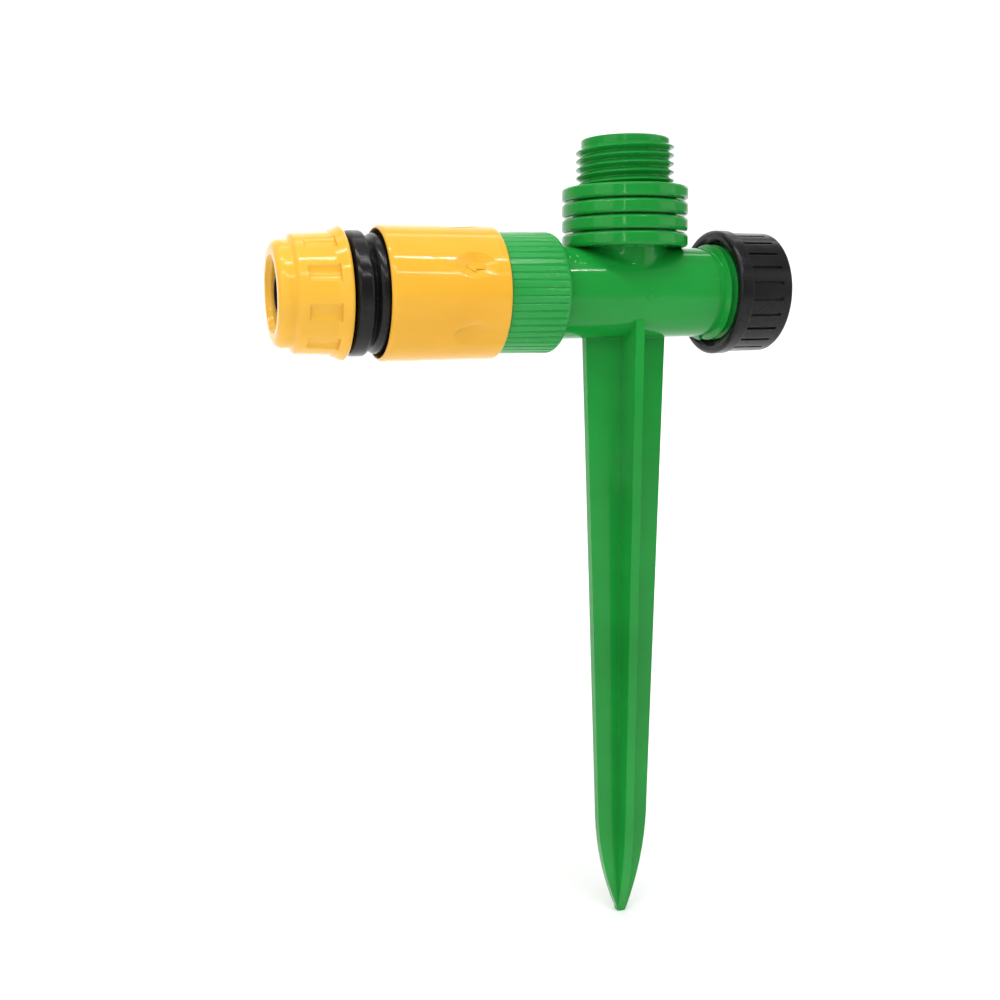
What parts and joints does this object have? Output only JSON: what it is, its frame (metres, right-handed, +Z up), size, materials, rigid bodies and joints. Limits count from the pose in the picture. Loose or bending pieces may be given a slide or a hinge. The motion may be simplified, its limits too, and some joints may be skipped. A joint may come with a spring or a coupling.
{
  "type": "sprinkler base",
  "caption": "Garden sprinkler base: a ground spike and tee in one moulding, with a threaded outlet, a hose quick connector on a tap adaptor, and a screw-on end cap.",
  "frame": {"origin": "on the spike's axis at ground level, where the cross tube's underside rests on the soil", "axes": "+Z up along the spike and outlet, +X along the cross tube towards the end cap, -X towards the hose connector"},
  "size_m": [0.1421, 0.0348, 0.2273],
  "materials": {
    "green_plastic": "glossy moulded",
    "green_ribbed_plastic": "satin ribbed",
    "yellow_plastic": "glossy moulded",
    "yellow_nut_plastic": "glossy moulded",
    "black_body_plastic": "semi-gloss",
    "black_cap_plastic": "semi-gloss",
    "claw_plastic": "natural acetal",
    "seal_rubber": "matte",
    "spring_steel": "drawn wire"
  },
  "bodies": {
    "base": {"spike_tee": "green_plastic"},
    "adaptor_seal": {"adaptor_washer": "seal_rubber"},
    "adaptor": {"tap_adaptor": "green_ribbed_plastic", "nipple_o_ring": "seal_rubber"},
    "connector": {"connector_body": "black_body_plastic", "sleeve_spring": "spring_steel"},
    "sleeve": {"release_sleeve": "yellow_plastic"},
    "claw_1": {"lock_claw_1": "claw_plastic"},
    "claw_2": {"lock_claw_2": "claw_plastic"},
    "claw_3": {"lock_claw_3": "claw_plastic"},
    "claw_4": {"lock_claw_4": "claw_plastic"},
    "collet": {"hose_collet": "black_body_plastic"},
    "nut": {"hose_nut": "yellow_nut_plastic"},
    "cap_seal": {"end_cap_washer": "seal_rubber"},
    "cap": {"end_cap": "black_cap_plastic"}
  },
  "joints": [
    {"name": "adaptor_travel", "type": "slide", "parent": "base", "child": "adaptor_seal", "axis": [-1, 0, 0], "range_m": [0, 0.0088]},
    {"name": "adaptor_turn", "type": "hinge", "parent": "adaptor_seal", "child": "adaptor", "pos_m": [-0.03, 0, 0.01245], "axis": [-1, 0, 0], "range_deg": [0, 1440]},
    {"name": "connector_swivel", "type": "hinge", "parent": "adaptor", "child": "connector", "pos_m": [-0.05, 0, 0.01245], "axis": [1, 0, 0], "continuous": true},
    {"name": "sleeve_slide", "type": "slide", "parent": "connector", "child": "sleeve", "axis": [-1, 0, 0], "range_m": [0, 0.005], "stiffness_N_per_m": 1200, "springref_m": -0.004, "deforming": ["sleeve_spring"]},
    {"name": "claw_1_lift", "type": "slide", "parent": "connector", "child": "claw_1", "axis": [0, 0, 1], "range_m": [0, 0.00165]},
    {"name": "claw_2_lift", "type": "slide", "parent": "connector", "child": "claw_2", "axis": [0, 1, 0], "range_m": [0, 0.00165]},
    {"name": "claw_3_lift", "type": "slide", "parent": "connector", "child": "claw_3", "axis": [0, 0, -1], "range_m": [0, 0.00165]},
    {"name": "claw_4_lift", "type": "slide", "parent": "connector", "child": "claw_4", "axis": [0, -1, 0], "range_m": [0, 0.00165]},
    {"name": "collet_travel", "type": "slide", "parent": "connector", "child": "collet", "axis": [-1, 0, 0], "range_m": [0, 0.0061]},
    {"name": "nut_turn", "type": "hinge", "parent": "collet", "child": "nut", "pos_m": [-0.085, 0, 0.01245], "axis": [-1, 0, 0], "range_deg": [0, 720]},
    {"name": "cap_travel", "type": "slide", "parent": "base", "child": "cap_seal", "axis": [1, 0, 0], "range_m": [-0.0041, 0.0034]},
    {"name": "cap_turn", "type": "hinge", "parent": "cap_seal", "child": "cap", "pos_m": [0.035, 0, 0.01245], "axis": [1, 0, 0], "range_deg": [-660, 540]}
  ],
  "couplings": [
    {"joint": "adaptor_turn", "follows": "adaptor_travel", "rad_per_m": 2844.7},
    {"joint": "collet_travel", "follows": "nut_turn", "m_per_rad": 0.00047746},
    {"joint": "cap_travel", "follows": "cap_turn", "m_per_rad": 0.00035152},
    {"joint": "claw_1_lift", "follows": "sleeve_slide", "ratio": 0.33},
    {"joint": "claw_2_lift", "follows": "sleeve_slide", "ratio": 0.33},
    {"joint": "claw_3_lift", "follows": "sleeve_slide", "ratio": 0.33},
    {"joint": "claw_4_lift", "follows": "sleeve_slide", "ratio": 0.33}
  ]
}
